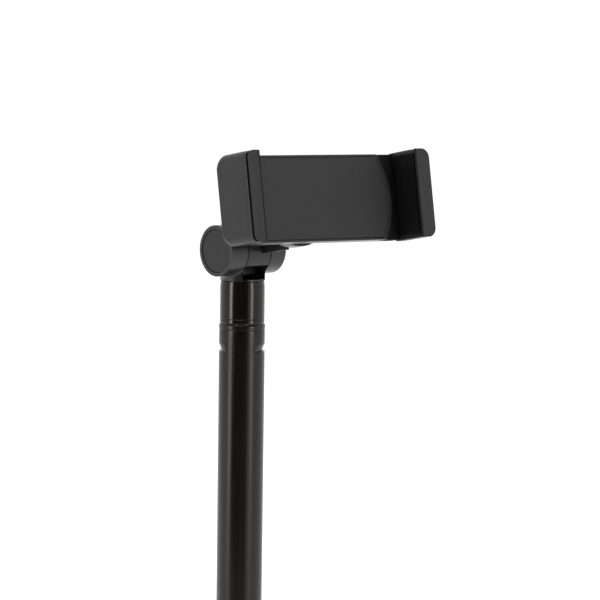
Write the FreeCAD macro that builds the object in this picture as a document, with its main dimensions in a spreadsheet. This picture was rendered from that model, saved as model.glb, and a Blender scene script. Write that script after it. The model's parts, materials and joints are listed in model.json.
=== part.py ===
"""Free-standing phone holder: a spring clamp on a hinged head, a telescopic pole and three folding legs.

Millimetres. +Z is up and the holder faces -Y. The origin lies on the floor at the middle of the
object's footprint, and the pole stands pole_setback behind it. The pole is collapsed, the legs are
spread and the clamp is closed.
"""
import FreeCAD, Part
import math
import os
import re
import Sketcher
from FreeCAD import Placement, Rotation, Vector

X_AXIS = Vector(1, 0, 0)
Y_AXIS = Vector(0, 1, 0)
Z_AXIS = Vector(0, 0, 1)

DIMENSIONS = {
    # stance
    "barrel_height": 222.0,     # hinge barrel's axis above the floor
    "pole_setback": 25.0,       # pole axis behind the footprint's middle: a quarter of the feet's reach
    # outer tube and collar
    "tube_radius": 7.0,
    "tube_wall": 0.9,
    "collar_seam": 24.3,        # tube's top edge below the barrel's axis
    "collar_height": 1.6,
    "collar_radius": 7.05,
    "notch_drop": 5.6,          # lanced notches below the collar seam
    "notch_height": 2.3,
    "notch_depth": 0.8,
    "notch_slope": 14.0,
    "notch_turn": -48.6,
    # inner sections
    "tube_floor": 72.0,         # lowest point of the second section
    "floor_step": 2.0,          # each further section starts this much higher
    "section_wall": 0.6,
    "second_radius": 5.5,
    "third_radius": 4.4,
    "section_sink": 0.3,        # sections end below the collar's top
    "guide_sink": 0.2,          # and so does the first guide bush
    "rod_radius": 3.3,
    "rod_waist": 2.6,
    "bush_length": 12.0,
    "guide_length": 14.0,
    "running_gap": 0.05,
    # neck and hinge barrel
    "neck_radius": 6.83,
    "neck_foot": 22.45,         # neck's lower face below the barrel's axis
    "neck_head": 9.3,           # neck tube's upper edge below the barrel's axis
    "neck_wall": 0.9,
    "barrel_radius": 7.79,
    "barrel_half": 10.6,
    "saddle_fillet": 1.3,
    "slot_floor": 8.8,
    "slot_half": 4.7,
    "pocket_radius": 3.5,       # pocket in the slot's floor, over the rod
    "pocket_depth": 4.0,
    "rod_cap": 1.0,             # floor of the pocket
    "stop_near": 3.6,           # rib that closes the slot's rear below the knuckle
    "stop_far": 4.4,
    "stop_top": 7.4,
    "slot_shift": 0.4,
    "slot_gap": 0.3,
    "disc_recess": 1.3,
    "disc_radius": 6.71,
    "disc_play": 0.05,
    "disc_inset": 0.15,
    "axle_radius": 2.5,
    # arm and swivel
    "tilt": 11.1,
    "roll": 1.6,
    "arm_reach": 24.0,
    "arm_under": 2.2,
    "arm_chin": 16.0,           # the lower part of the arm ends here
    "arm_ledge": 0.5,
    "arm_rib": 1.5,             # left side of the rib under the arm
    "arm_shoulder": 2.7,
    "arm_rise": 17.0,
    "knuckle_flat": 5.7,        # flat under the knuckle's front half
    "swivel_radius": 13.7,
    "swivel_thick": 4.2,
    "swivel_lift": 11.4,        # swivel axis above the barrel's axis, along the tilted panel
    "screw_radius": 3.0,
    "screw_depth": 10.0,
    "washer_radius": 5.5,
    "washer_thick": 0.5,
    "screw_gap": 0.1,           # swivel screw's head stands off the housing's floor
    # holder
    "holder_rear": 28.8,        # rear face of the housing in front of the barrel's axis
    "holder_left": 26.6,
    "holder_right": 34.0,
    "holder_half": 13.0,        # half of the housing's height
    "back_thick": 1.2,
    "rim_thick": 0.7,
    "panel_face": 34.0,
    "panel_thick": 0.95,
    "panel_play": 0.1,
    "end_radius": 22.9,         # convex right-hand end of the panel
    "end_centre": 7.7,
    "end_drop": 1.0,
    "end_rim": 1.5,
    "boss_radius": 2.2,
    "boss_spacing": 18.0,
    "small_screw": 1.0,
    "small_head": 1.9,
    "small_sink": 0.72,         # depth of the small screws' heads
    # jaws
    "jaw_half": 13.45,
    "jaw_front": 43.8,
    "lip_thick": 0.95,
    "lip_groove": 0.45,
    "pad_thick": 0.7,
    "fixed_outer": 30.6,
    "moving_inner": 34.5,
    "moving_outer": 40.4,
    "jaw_corner": 3.0,
    "jaw_heel": 3.0,            # rounding of the rear upper and lower edges
    "rail_half": 11.9,
    "rail_width": 4.0,
    "rail_thick": 2.6,
    "rail_tail": 12.0,
    "rail_foot": 26.0,
    "rail_gap": 0.2,            # between the rails and the housing's floor
    "spring_radius": 0.95,
    "spring_line": 9.9,
    "spring_groove": 1.2,       # half the width of the channel that a spring lies in
    "channel_depth": 2.1,
    "spring_depth": 1.1,        # spring's axis in front of the rails' rear face
    "post_line": 23.6,
    "post_radius": 0.8,
    # hub and legs
    "pivot_height": 56.0,
    "pivot_radius": 9.0,
    "hub_radius": 15.0,
    "hub_bottom": 46.0,
    "hub_top": 78.0,
    "hub_shoulder": 66.0,
    "hub_neck": 9.6,
    "hub_core": 4.6,
    "socket_floor": 62.4,
    "plug_height": 8.0,
    "leg_width": 9.0,
    "leg_thick": 6.0,
    "leg_knuckle": 4.0,
    "leg_play": 0.3,
    "pin_radius": 1.5,
    "pin_half": 11.0,
    "foot_radius": 5.0,
    "foot_height": 4.7,         # foot's centre above the floor: it is worn flat below that
    "foot_sleeve": 14.0,
    "base_screw": 2.0,
    "base_head": 4.2,
    "overrun": 1.0,             # how far a cutting block reaches past what it cuts
}

doc = FreeCAD.newDocument("phone_holder")
sheet = doc.addObject("Spreadsheet::Sheet", "dims")
for row, (alias, size) in enumerate(DIMENSIONS.items(), start=1):
    sheet.set(f"A{row}", alias)
    sheet.set(f"B{row}", str(size))
    sheet.setAlias(f"B{row}", alias)
doc.recompute()

SHORT = 0.01                    # lengths closer than this count as equal
STRAIGHT = 0.999                # and so do directions whose cosine is over this
SOLVER_START = 10               # how far off the axis an unsolved profile is first drawn

sub_parts = []


def size(alias):
    """The number in the sheet's cell."""
    return float(sheet.get(alias))


def bound(expression):
    """The expression with each dimension read from the sheet."""
    return re.sub(r"[a-z_]+", lambda word: "dims." + word.group(0), str(expression))


def bind(thing, **sizes):
    """Tie properties of a document object to the sheet."""
    for name, expression in sizes.items():
        thing.setExpression(name, bound(expression))
    return thing


def put(thing, where, turn=Rotation()):
    """Place an object at (x, y, z) expressions, after a turn."""
    thing.Placement = Placement(Vector(), turn)
    for letter, expression in zip("xyz", where):
        thing.setExpression(f"Placement.Base.{letter}", bound(expression))
    return thing


def cylinder(radius, length, start=(0, 0, 0), along=Z_AXIS):
    """A cylinder whose lower end's middle is at start."""
    thing = bind(doc.addObject("Part::Cylinder", "round"), Radius=radius, Height=length)
    return put(thing, start, Rotation(Z_AXIS, along))


def block(low, high):
    """A box from one corner to the other, each a triple of expressions."""
    spans = [f"({b}) - ({a})" for a, b in zip(low, high)]
    thing = bind(doc.addObject("Part::Box", "block"), Length=spans[0], Width=spans[1], Height=spans[2])
    return put(thing, low)


def fuse(*pieces):
    thing = doc.addObject("Part::MultiFuse", "fused")
    thing.Shapes = list(pieces)
    thing.Refine = True
    return thing


def cut(base, *tools):
    thing = doc.addObject("Part::Cut", "cut")
    thing.Base = base
    thing.Tool = tools[0] if len(tools) == 1 else fuse(*tools)
    thing.Refine = True
    return thing


def rounded(base, radius, wanted):
    """Fillet the edges of base that wanted(edge) picks."""
    doc.recompute()
    thing = doc.addObject("Part::Fillet", "rounded")
    thing.Base = base
    reach = size(radius)
    thing.Edges = [(n, reach, reach) for n, edge in enumerate(base.Shape.Edges, start=1) if wanted(edge)]
    return thing


def runs_along(axis):
    """A test for straight edges that run along an axis."""
    def test(edge):
        return isinstance(edge.Curve, Part.Line) and abs(edge.Curve.Direction.dot(axis)) > STRAIGHT
    return test


def solids(*pieces):
    """Several separate solids kept as one sub-part."""
    thing = doc.addObject("Part::Compound", "group")
    thing.Links = list(pieces)
    return thing


def turned(profile):
    """A PartDesign body turned about Z from (radius, height) expressions."""
    body = doc.addObject("PartDesign::Body", "turned")
    sketch = body.newObject("Sketcher::SketchObject", "profile")
    plane = [feature for feature in body.Origin.OriginFeatures if feature.Role == "XZ_Plane"][0]
    sketch.AttachmentSupport = [(plane, "")]
    sketch.MapMode = "FlatFace"
    count = len(profile)
    corners = [Vector(SOLVER_START + math.cos(2 * math.pi * n / count), math.sin(2 * math.pi * n / count), 0)
               for n in range(count)]
    for n in range(count):
        sketch.addGeometry(Part.LineSegment(corners[n], corners[(n + 1) % count]))
    for n in range(count):
        sketch.addConstraint(Sketcher.Constraint("Coincident", n, 2, (n + 1) % count, 1))
    for n, point in enumerate(profile):
        for kind, expression in zip(("DistanceX", "DistanceY"), point):
            start = 0.0 if expression == 0 else 1.0
            number = sketch.addConstraint(Sketcher.Constraint(kind, -1, 1, n, 1, start))
            if expression != 0:
                sketch.setExpression(f"Constraints[{number}]", bound(expression))
    spin = body.newObject("PartDesign::Revolution", "spin")
    spin.Profile = sketch
    spin.ReferenceAxis = (sketch, ["V_Axis"])
    spin.Angle = 360
    return body


def ring(outer, inner, low, high):
    """A turned sleeve."""
    return turned([(inner, low), (outer, low), (outer, high), (inner, high)])


def keep(name, thing, frame):
    """Name a sub-part and set it in its frame. A primitive whose place is bound goes in a group first."""
    if any("Placement" in path for path, _ in thing.ExpressionEngine):
        thing = solids(thing)
    thing.Label = name
    thing.Placement = frame.multiply(thing.Placement)
    sub_parts.append(thing)
    return thing


def upright():
    """The pole's frame: its axis is Z and the floor is zero."""
    return Placement(Vector(0, size("pole_setback"), 0), Rotation())


def head():
    """The hinge barrel's frame: its axis is X."""
    return upright().multiply(Placement(Vector(0, 0, size("barrel_height")), Rotation()))


def arm():
    """The arm's frame: turned back about the barrel, so that -Y is the panel's normal."""
    return head().multiply(Placement(Vector(), Rotation(X_AXIS, -size("tilt"))))


def holder():
    """The holder's frame: the arm's, raised to the swivel axis and rolled about it."""
    return arm().multiply(Placement(Vector(0, 0, size("swivel_lift")), Rotation(Y_AXIS, size("roll"))))


# Outer tube, its collar and its plug

TUBE_TOP = "barrel_height - collar_seam"
COLLAR_TOP = "barrel_height - collar_seam + collar_height"
SECTION_TOP = f"{COLLAR_TOP} - section_sink"


def notch(side):
    """Wedge that shears a notch: its lower face is level and its inner face leans outwards above."""
    thing = bind(doc.addObject("Part::Box", "notch"),
                 Length="tube_radius", Width="2 * tube_radius", Height="notch_height")
    turn = Rotation(Z_AXIS, size("notch_turn") + side).multiply(Rotation(Y_AXIS, size("notch_slope")))
    depth = size("tube_radius") - size("notch_depth")
    low = size("barrel_height") - size("collar_seam") - size("notch_drop") - size("notch_height") / 2
    across = Rotation(Z_AXIS, size("notch_turn") + side)
    corner = across.multVec(Vector(depth, -size("tube_radius"), low))
    thing.Placement = Placement(corner, turn)
    return thing


tube_bore = "tube_radius - tube_wall"
outer_tube = cut(ring("tube_radius", tube_bore, "socket_floor", TUBE_TOP), notch(0), notch(180))
keep("outer_tube", outer_tube, upright())
keep("tube_collar", ring("collar_radius", tube_bore, TUBE_TOP, COLLAR_TOP), upright())
tube_plug = turned([("base_screw", "socket_floor"), (tube_bore, "socket_floor"),
                    (tube_bore, "socket_floor + plug_height"), ("base_screw", "socket_floor + plug_height")])
keep("tube_plug", tube_plug, upright())

# Telescopic sections: each is a tube with a slide bush at its foot and a guide bush in its mouth

SECTION_2 = "second_radius"
SECTION_3 = "third_radius"


def guide_bush(name, around, within, top):
    """Bush pressed into a tube's mouth, with running clearance to the section inside it."""
    bush = ring(around, f"{within} + running_gap", f"{top} - guide_length", top)
    keep(name, bush, upright())


def section(number, radius, around, floor):
    """Tube section and the slide bush on its foot."""
    keep(f"tube_{number}", ring(radius, f"{radius} - section_wall", floor, SECTION_TOP), upright())
    bush = ring(f"{around} - running_gap", radius, floor, f"{floor} + bush_length")
    keep(f"slide_bush_{number}", bush, upright())


guide_bush("guide_bush_1", tube_bore, SECTION_2, f"{COLLAR_TOP} - guide_sink")
section(2, SECTION_2, tube_bore, "tube_floor")
guide_bush("guide_bush_2", f"{SECTION_2} - section_wall", SECTION_3, SECTION_TOP)
section(3, SECTION_3, f"{SECTION_2} - section_wall", "tube_floor + floor_step")
guide_bush("guide_bush_3", f"{SECTION_3} - section_wall", "rod_radius", SECTION_TOP)

# Innermost rod: a waist near its foot holds the bush that it turns in

rod_foot = "tube_floor + 2 * floor_step"
waist_low = "tube_floor + 3 * floor_step"
waist_high = "tube_floor + 3 * floor_step + bush_length"
rod_top = "barrel_height - slot_floor - pocket_depth - rod_cap"
pole_rod = turned([(0, rod_foot), ("rod_radius", rod_foot), ("rod_radius", waist_low),
                   ("rod_waist", waist_low), ("rod_waist", waist_high), ("rod_radius", waist_high),
                   ("rod_radius", rod_top), (0, rod_top)])
keep("pole_rod", pole_rod, upright())
slide_bush_4 = ring(f"{SECTION_3} - section_wall - running_gap", "rod_waist + running_gap",
                    f"{waist_low} + 2 * running_gap", f"{waist_high} - 2 * running_gap")
keep("slide_bush_4", slide_bush_4, upright())

# Yoke: a level barrel with a slot across its middle, on a short stem whose plug fills the neck tube

barrel_left = "-barrel_half"
barrel = cylinder("barrel_radius", "2 * barrel_half", (barrel_left, 0, 0), X_AXIS)
stem = cylinder("neck_radius", "neck_head", (0, 0, "-neck_head"))
plug_foot = "neck_foot - neck_wall / 2"
plug = cylinder("neck_radius - neck_wall", f"{plug_foot} - neck_head", (0, 0, f"-({plug_foot})"))


def on_saddle(edge):
    """True for the edges where the stem runs into the barrel."""
    points = edge.discretize(5)
    on_barrel = all(abs(math.hypot(p.y, p.z) - size("barrel_radius")) < SHORT for p in points)
    on_stem = all(abs(math.hypot(p.x, p.y) - size("neck_radius")) < SHORT for p in points)
    return on_barrel and on_stem


slot_left = "slot_shift - slot_half"
slot = block((slot_left, "-2 * barrel_radius", "-slot_floor"),
             ("slot_shift + slot_half", "2 * barrel_radius", "2 * barrel_radius"))
left_recess = cylinder("disc_radius", "disc_recess", (barrel_left, 0, 0), X_AXIS)
right_recess = cylinder("disc_radius", "disc_recess", ("barrel_half - disc_recess", 0, 0), X_AXIS)
axle_bore = cylinder("axle_radius", "2 * barrel_half", (barrel_left, 0, 0), X_AXIS)
rod_bore = cylinder("rod_radius", "neck_foot - slot_floor - pocket_depth - rod_cap", (0, 0, "-neck_foot"))
pocket = cylinder("pocket_radius", "pocket_depth", (0, 0, "-slot_floor - pocket_depth"))
slotted = cut(fuse(rounded(fuse(barrel, stem), "saddle_fillet", on_saddle), plug),
              slot, left_recess, right_recess, axle_bore, rod_bore, pocket)
stop_rib = block((slot_left, "stop_near", "-slot_floor - overrun"),
                 ("slot_shift + slot_half", "stop_far", "-stop_top"))
keep("yoke", fuse(slotted, stop_rib), head())
neck_tube = ring("neck_radius", "neck_radius - neck_wall",
                 "barrel_height - neck_foot", "barrel_height - neck_head")
keep("neck_tube", neck_tube, upright())

axle = cylinder("axle_radius", "2 * barrel_half - 2 * disc_recess",
                ("disc_recess - barrel_half", 0, 0), X_AXIS)
keep("hinge_axle", axle, head())
disc_depth = "disc_recess - disc_inset"
left_disc = cylinder("disc_radius - disc_play", disc_depth, ("disc_inset - barrel_half", 0, 0), X_AXIS)
keep("end_disc_left", left_disc, head())
right_disc = cylinder("disc_radius - disc_play", disc_depth, ("barrel_half - disc_recess", 0, 0), X_AXIS)
keep("end_disc_right", right_disc, head())

# Arm: a knuckle between the yoke's ears and a web that carries the swivel disc

web_left = "slot_shift - slot_half + slot_gap"
web_right = "slot_shift + slot_half - slot_gap"
web_width = "2 * (slot_half - slot_gap)"


def web():
    """Side profile of the arm, drawn in the YZ plane and padded along X."""
    body = doc.addObject("PartDesign::Body", "web")
    sketch = body.newObject("Sketcher::SketchObject", "side")
    plane = [feature for feature in body.Origin.OriginFeatures if feature.Role == "YZ_Plane"][0]
    sketch.AttachmentSupport = [(plane, "")]
    sketch.MapMode = "FlatFace"
    outline = [(0, "-arm_under"), (0, "barrel_radius - slot_gap"),
               ("-arm_shoulder", "barrel_radius - slot_gap"),
               ("-arm_reach + arm_shoulder", "arm_rise"), ("-arm_reach", "arm_rise"),
               ("-arm_reach", "arm_ledge"), ("-arm_chin", "arm_ledge"), ("-arm_chin", "-arm_under")]
    # Rough places from which the solver finds the outline
    guess = [(0, -2), (0, 7), (-3, 7), (-21, 17), (-24, 17), (-24, 1), (-16, 1), (-16, -2)]
    corners = [Vector(y, z, 0) for y, z in guess]
    for n, corner in enumerate(corners):
        sketch.addGeometry(Part.LineSegment(corner, corners[(n + 1) % len(corners)]))
    for n in range(len(corners)):
        sketch.addConstraint(Sketcher.Constraint("Coincident", n, 2, (n + 1) % len(corners), 1))
    for n, (point, near) in enumerate(zip(outline, guess)):
        for kind, expression, start in zip(("DistanceX", "DistanceY"), point, near):
            number = sketch.addConstraint(Sketcher.Constraint(kind, -1, 1, n, 1, float(start)))
            if expression != 0:
                sketch.setExpression(f"Constraints[{number}]", bound(expression))
    pad = body.newObject("PartDesign::Pad", "pad")
    pad.Profile = sketch
    pad.Midplane = True
    bind(pad, Length=web_width)
    return put(body, ("slot_shift", 0, 0))


knuckle = cylinder("barrel_radius", web_width, (web_left, 0, 0), X_AXIS)
under = block((f"{web_left} - overrun", "-2 * barrel_radius", "-2 * barrel_radius"),
              (f"{web_right} + overrun", "overrun", "-knuckle_flat"))
relief = block((f"{web_left} - overrun", "-arm_chin - overrun", "-arm_under - overrun"), ("arm_rib", 0, 0))
axle_hole = cylinder("axle_radius + running_gap", "2 * barrel_half", (barrel_left, 0, 0), X_AXIS)
screw_bore = cylinder("screw_radius", "screw_depth", (0, "screw_depth - arm_reach", "swivel_lift"), -Y_AXIS)
keep("knuckle_arm", cut(fuse(knuckle, cut(web(), relief)), under, axle_hole, screw_bore), arm())

swivel_disc = cut(cylinder("swivel_radius", "swivel_thick", (0, "-arm_reach", "swivel_lift"), -Y_AXIS),
                  cylinder("screw_radius", "swivel_thick", (0, "-arm_reach", "swivel_lift"), -Y_AXIS))
keep("swivel_disc", swivel_disc, arm())
washer_rear = "-arm_reach - swivel_thick"
spring_washer = cut(cylinder("washer_radius", "washer_thick", (0, washer_rear, "swivel_lift"), -Y_AXIS),
                    cylinder("screw_radius", "washer_thick", (0, washer_rear, "swivel_lift"), -Y_AXIS))
keep("spring_washer", spring_washer, arm())
plate_front = "holder_rear + back_thick"
shank = cylinder("screw_radius", f"{plate_front} + screw_gap - arm_reach + screw_depth",
                 (0, "screw_depth - arm_reach", "swivel_lift"), -Y_AXIS)
screw_head = cylinder("washer_radius", "back_thick",
                      (0, f"-({plate_front}) - screw_gap", "swivel_lift"), -Y_AXIS)
keep("swivel_screw", fuse(shank, screw_head), arm())

# Holder: a tray with a curved right-hand end, closed by a front panel that lies inside its rim


def beyond_end(radius):
    """What lies past the curved end of that radius."""
    slab = block(("end_centre", "-jaw_front", "-2 * holder_half"),
                 ("end_centre + 2 * end_radius", 0, "2 * holder_half"))
    end = cylinder(radius, "jaw_front", ("end_centre", 0, "-end_drop"), -Y_AXIS)
    return cut(slab, end)


def slab_between(left, right, half, rear, front):
    """A box across the holder, between two distances in front of the barrel's axis."""
    return block((left, f"-({front})", f"-({half})"), (right, f"-({rear})", half))


BOSS_PLACES = ["boss_spacing", "-boss_spacing"]
tray = cut(slab_between("-holder_left", "holder_right", "holder_half", "holder_rear", "panel_face"),
           beyond_end("end_radius + end_rim"))
cavity = slab_between("rim_thick - holder_left", "2 * holder_right", "holder_half - rim_thick",
                      plate_front, "panel_face - panel_thick - panel_play")
panel_seat = cut(slab_between("rim_thick - holder_left", "holder_right", "holder_half - rim_thick",
                              "panel_face - panel_thick - panel_play", "panel_face"),
                 beyond_end("end_radius + panel_play"))
swivel_bore = cylinder("screw_radius + running_gap", "back_thick", (0, "-holder_rear", 0), -Y_AXIS)
small_bores = [cylinder("small_screw", "back_thick", (place, "-holder_rear", 0), -Y_AXIS)
               for place in BOSS_PLACES]
small_seats = [cylinder("small_head", "small_sink", (place, "-holder_rear", 0), -Y_AXIS)
               for place in BOSS_PLACES]
rear_housing = cut(tray, cavity, panel_seat, swivel_bore, *small_bores, *small_seats)
keep("rear_housing", rear_housing, holder())

panel_plate = cut(slab_between("rim_thick + panel_play - holder_left", "holder_right",
                               "holder_half - rim_thick - panel_play",
                               "panel_face - panel_thick", "panel_face"),
                  beyond_end("end_radius"))
bosses = [cylinder("boss_radius", f"panel_face - panel_thick - ({plate_front})",
                   (place, f"-({plate_front})", 0), -Y_AXIS) for place in BOSS_PLACES]
boss_holes = [cylinder("small_screw", f"panel_face - panel_thick - ({plate_front})",
                       (place, f"-({plate_front})", 0), -Y_AXIS) for place in BOSS_PLACES]
keep("front_panel", cut(fuse(panel_plate, *bosses), *boss_holes), holder())

small_screws = [fuse(cylinder("small_screw", "panel_face - panel_thick - holder_rear",
                              (place, "-holder_rear", 0), -Y_AXIS),
                     cylinder("small_head", "small_sink", (place, "-holder_rear", 0), -Y_AXIS))
                for place in BOSS_PLACES]
keep("housing_screws", solids(*small_screws), holder())

# Jaws: the fixed one closes the tray's left-hand end and the moving one rides on two rails

lip_rear = "jaw_front - lip_thick"


def outer_corner(edge):
    """True for the edges along Y on a jaw's outer side."""
    along = runs_along(Y_AXIS)(edge)
    return along and not -size("fixed_outer") + SHORT < edge.CenterOfMass.x < size("moving_outer") - SHORT


def heel(edge):
    """True for the upper and lower edges along X at a jaw's rear."""
    return runs_along(X_AXIS)(edge) and abs(edge.CenterOfMass.y + size("holder_rear")) < SHORT


def lip(left, right):
    """Cap over a jaw's front and its pad's, with its outer corners rounded."""
    return rounded(slab_between(left, right, "jaw_half", lip_rear, "jaw_front"), "jaw_corner", outer_corner)


def jaw(left, right):
    """Jaw's block behind its lip, with its outer corners and its heels rounded."""
    plain = slab_between(left, right, "jaw_half", "holder_rear", f"{lip_rear} - lip_groove")
    return rounded(rounded(plain, "jaw_heel", heel), "jaw_corner", outer_corner)


keep("fixed_jaw", jaw("-fixed_outer", "-holder_left"), holder())
keep("fixed_jaw_lip", lip("-fixed_outer", "pad_thick - holder_left"), holder())
fixed_pad = slab_between("-holder_left", "pad_thick - holder_left", "holder_half - rim_thick",
                         "panel_face + lip_groove", lip_rear)
keep("fixed_jaw_pad", fixed_pad, holder())

wall_left = "moving_inner + pad_thick"
keep("moving_jaw", jaw(wall_left, "moving_outer"), holder())
keep("moving_jaw_lip", lip("moving_inner", "moving_outer"), holder())
moving_pad = slab_between("moving_inner", wall_left, "holder_half - rim_thick",
                          "panel_face - panel_thick", lip_rear)
keep("moving_jaw_pad", moving_pad, holder())

rail_rear = f"{plate_front} + rail_gap"
rail_front = f"{rail_rear} + rail_thick"
between_rails = slab_between("-2 * rail_tail", "rail_foot", "rail_half - rail_width",
                             "holder_rear", "panel_face")


def spring_channel(side):
    """Groove along the back of a rail, open at its tail."""
    middle = f"{side} * spring_line"
    return block(("-2 * rail_tail", f"-({rail_rear}) - channel_depth", f"{middle} - spring_groove"),
                 ("rail_foot", "-holder_rear", f"{middle} + spring_groove"))


# Foot of the moving jaw: as tall as the housing, and hollowed to meet its curved end
jaw_foot = cut(slab_between("end_centre", wall_left, "holder_half", "holder_rear", rail_front),
               cylinder("end_radius + end_rim + panel_play", "jaw_front",
                        ("end_centre", 0, "-end_drop"), -Y_AXIS))
jaw_slide = cut(fuse(slab_between("-rail_tail", wall_left, "rail_half", rail_rear, rail_front), jaw_foot),
                between_rails, spring_channel(1), spring_channel(-1))
keep("jaw_slide", jaw_slide, holder())

spring_axis = f"-({rail_rear}) - spring_depth"
springs = [cylinder("spring_radius", "post_line - 2 * post_radius + rail_foot",
                    ("2 * post_radius - post_line", spring_axis, f"{side} * spring_line"), X_AXIS)
           for side in (1, -1)]
keep("jaw_springs", solids(*springs), holder())
posts = [cylinder("post_radius", "2 * spring_groove",
                  ("-post_line", f"-({plate_front})", f"{side} * spring_line"), -Y_AXIS)
         for side in (1, -1)]
keep("spring_posts", solids(*posts), holder())

# Hub: a boss that holds the tube, over three slots for the legs

LEG_TURNS = {"front": 0, "right": 120, "left": 240}

hub_turning = turned([(0, "hub_bottom"), ("hub_radius", "hub_bottom"), ("hub_radius", "hub_shoulder"),
                      ("hub_neck", "hub_top"), (0, "hub_top")])
socket = cylinder("tube_radius", "hub_top - socket_floor", (0, 0, "socket_floor"))
base_bore = cylinder("base_screw", "socket_floor - hub_bottom", (0, 0, "hub_bottom"))
slot_half_width = "leg_width / 2 + leg_play"


def around_pole(thing, turn):
    """Turn a piece about the pole, from the front leg's place to another leg's."""
    return Placement(Vector(), Rotation(Z_AXIS, turn)).multiply(thing.Placement)


def leg_slot(turn):
    low = (f"-({slot_half_width})", "-2 * hub_radius", "hub_bottom - overrun")
    high = (slot_half_width, "-hub_core", "pivot_height + leg_knuckle + 2 * leg_play")
    group = solids(block(low, high))
    group.Placement = around_pole(group, turn)
    return group


def leg_pin(turn, radius):
    group = solids(cylinder(radius, "2 * pin_half", ("-pin_half", "-pivot_radius", "pivot_height"), X_AXIS))
    group.Placement = around_pole(group, turn)
    return group


turns = list(LEG_TURNS.values())
leg_hub = cut(hub_turning, socket, base_bore, *[leg_slot(turn) for turn in turns],
              *[leg_pin(turn, "pin_radius") for turn in turns])
keep("leg_hub", leg_hub, upright())
keep("leg_pins", solids(*[leg_pin(turn, "pin_radius") for turn in turns]), upright())
hub_screw = fuse(cylinder("base_screw", "socket_floor + plug_height - hub_bottom", (0, 0, "hub_bottom")),
                 cylinder("base_head", "base_screw", (0, 0, "hub_bottom - base_screw")))
keep("hub_screw", hub_screw, upright())

# Legs: drawn hanging from the pivot, then spread

foot_run = 4 * size("pole_setback") - size("pivot_radius")
foot_fall = size("pivot_height") - size("foot_height")
leg_length = math.hypot(foot_run, foot_fall)
spread = math.degrees(math.atan2(foot_run, foot_fall))


def leg_frame(turn):
    """A leg's frame: its pivot is the origin and the leg points down -Z."""
    pivot = Placement(Vector(0, -size("pivot_radius"), size("pivot_height")), Rotation(X_AXIS, -spread))
    return upright().multiply(Placement(Vector(), Rotation(Z_AXIS, turn))).multiply(pivot)


def leg_bar():
    bar_end = size("foot_sleeve") / 2 - leg_length
    bar = block(("-leg_width / 2", "-leg_thick / 2", bar_end), ("leg_width / 2", "leg_thick / 2", 0))
    rounded_bar = rounded(bar, "pin_radius", runs_along(Z_AXIS))
    knuckle_end = cylinder("leg_knuckle", "leg_width", ("-leg_width / 2", 0, 0), X_AXIS)
    pin_hole = cylinder("pin_radius + running_gap", "2 * leg_width", ("-leg_width", 0, 0), X_AXIS)
    tang = cylinder("foot_radius / 2", "foot_sleeve / 2", (0, 0, -leg_length))
    return cut(fuse(rounded_bar, knuckle_end, tang), pin_hole)


def leg_foot():
    ball = bind(doc.addObject("Part::Sphere", "ball"), Radius="foot_radius")
    put(ball, (0, 0, -leg_length))
    sleeve = cylinder("foot_radius", "foot_sleeve / 2", (0, 0, -leg_length))
    tang = cylinder("foot_radius / 2", "foot_sleeve / 2", (0, 0, -leg_length))
    floor = bind(doc.addObject("Part::Box", "floor"),
                 Length="8 * foot_radius", Width="8 * foot_radius", Height="8 * foot_radius")
    reach = 4 * size("foot_radius")
    drop = Placement(Vector(0, 0, -leg_length), Rotation(X_AXIS, spread))
    below = Vector(-reach, -reach, -2 * reach - size("foot_height"))
    floor.Placement = drop.multiply(Placement(below, Rotation()))
    return cut(fuse(ball, sleeve), tang, floor)


for side, turn in LEG_TURNS.items():
    keep(f"leg_{side}_bar", leg_bar(), leg_frame(turn))
    keep(f"leg_{side}_foot", leg_foot(), leg_frame(turn))


def check():
    """Stop if any object failed or any sub-part isn't sound."""
    doc.recompute()
    for thing in doc.Objects:
        if "Invalid" in thing.State or "Error" in thing.State:
            raise RuntimeError(f"{thing.Label} did not compute: {thing.State}")
    for thing in sub_parts:
        shape = thing.Shape
        if shape.isNull() or not shape.isValid() or not shape.Solids:
            raise RuntimeError(f"{thing.Label} is not a valid solid")


check()
os.makedirs("parts", exist_ok=True)
for thing in sub_parts:
    thing.Shape.exportStep(os.path.join("parts", thing.Label + ".step"))
    print(f"{thing.Label:18s} {thing.Shape.Volume:9.1f} mm3 {len(thing.Shape.Solids)} solid(s)")
print("pieces", len(sub_parts), "leg length", round(leg_length, 3), "spread", round(spread, 4))
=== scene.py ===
"""Looks, light and camera for the phone holder stand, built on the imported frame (metres)."""
import math

import bmesh
import bpy
from mathutils import Matrix, Vector
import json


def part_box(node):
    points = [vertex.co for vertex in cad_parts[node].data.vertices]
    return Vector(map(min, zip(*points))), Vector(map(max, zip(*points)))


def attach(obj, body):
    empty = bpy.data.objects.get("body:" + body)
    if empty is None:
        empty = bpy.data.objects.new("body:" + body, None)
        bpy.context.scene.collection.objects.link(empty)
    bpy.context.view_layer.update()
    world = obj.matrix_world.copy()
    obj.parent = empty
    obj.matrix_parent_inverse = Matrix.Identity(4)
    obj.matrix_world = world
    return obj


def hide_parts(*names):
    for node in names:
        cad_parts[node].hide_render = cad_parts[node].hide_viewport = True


MM = 0.001
FULL_TURN = 2 * math.pi

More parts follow.
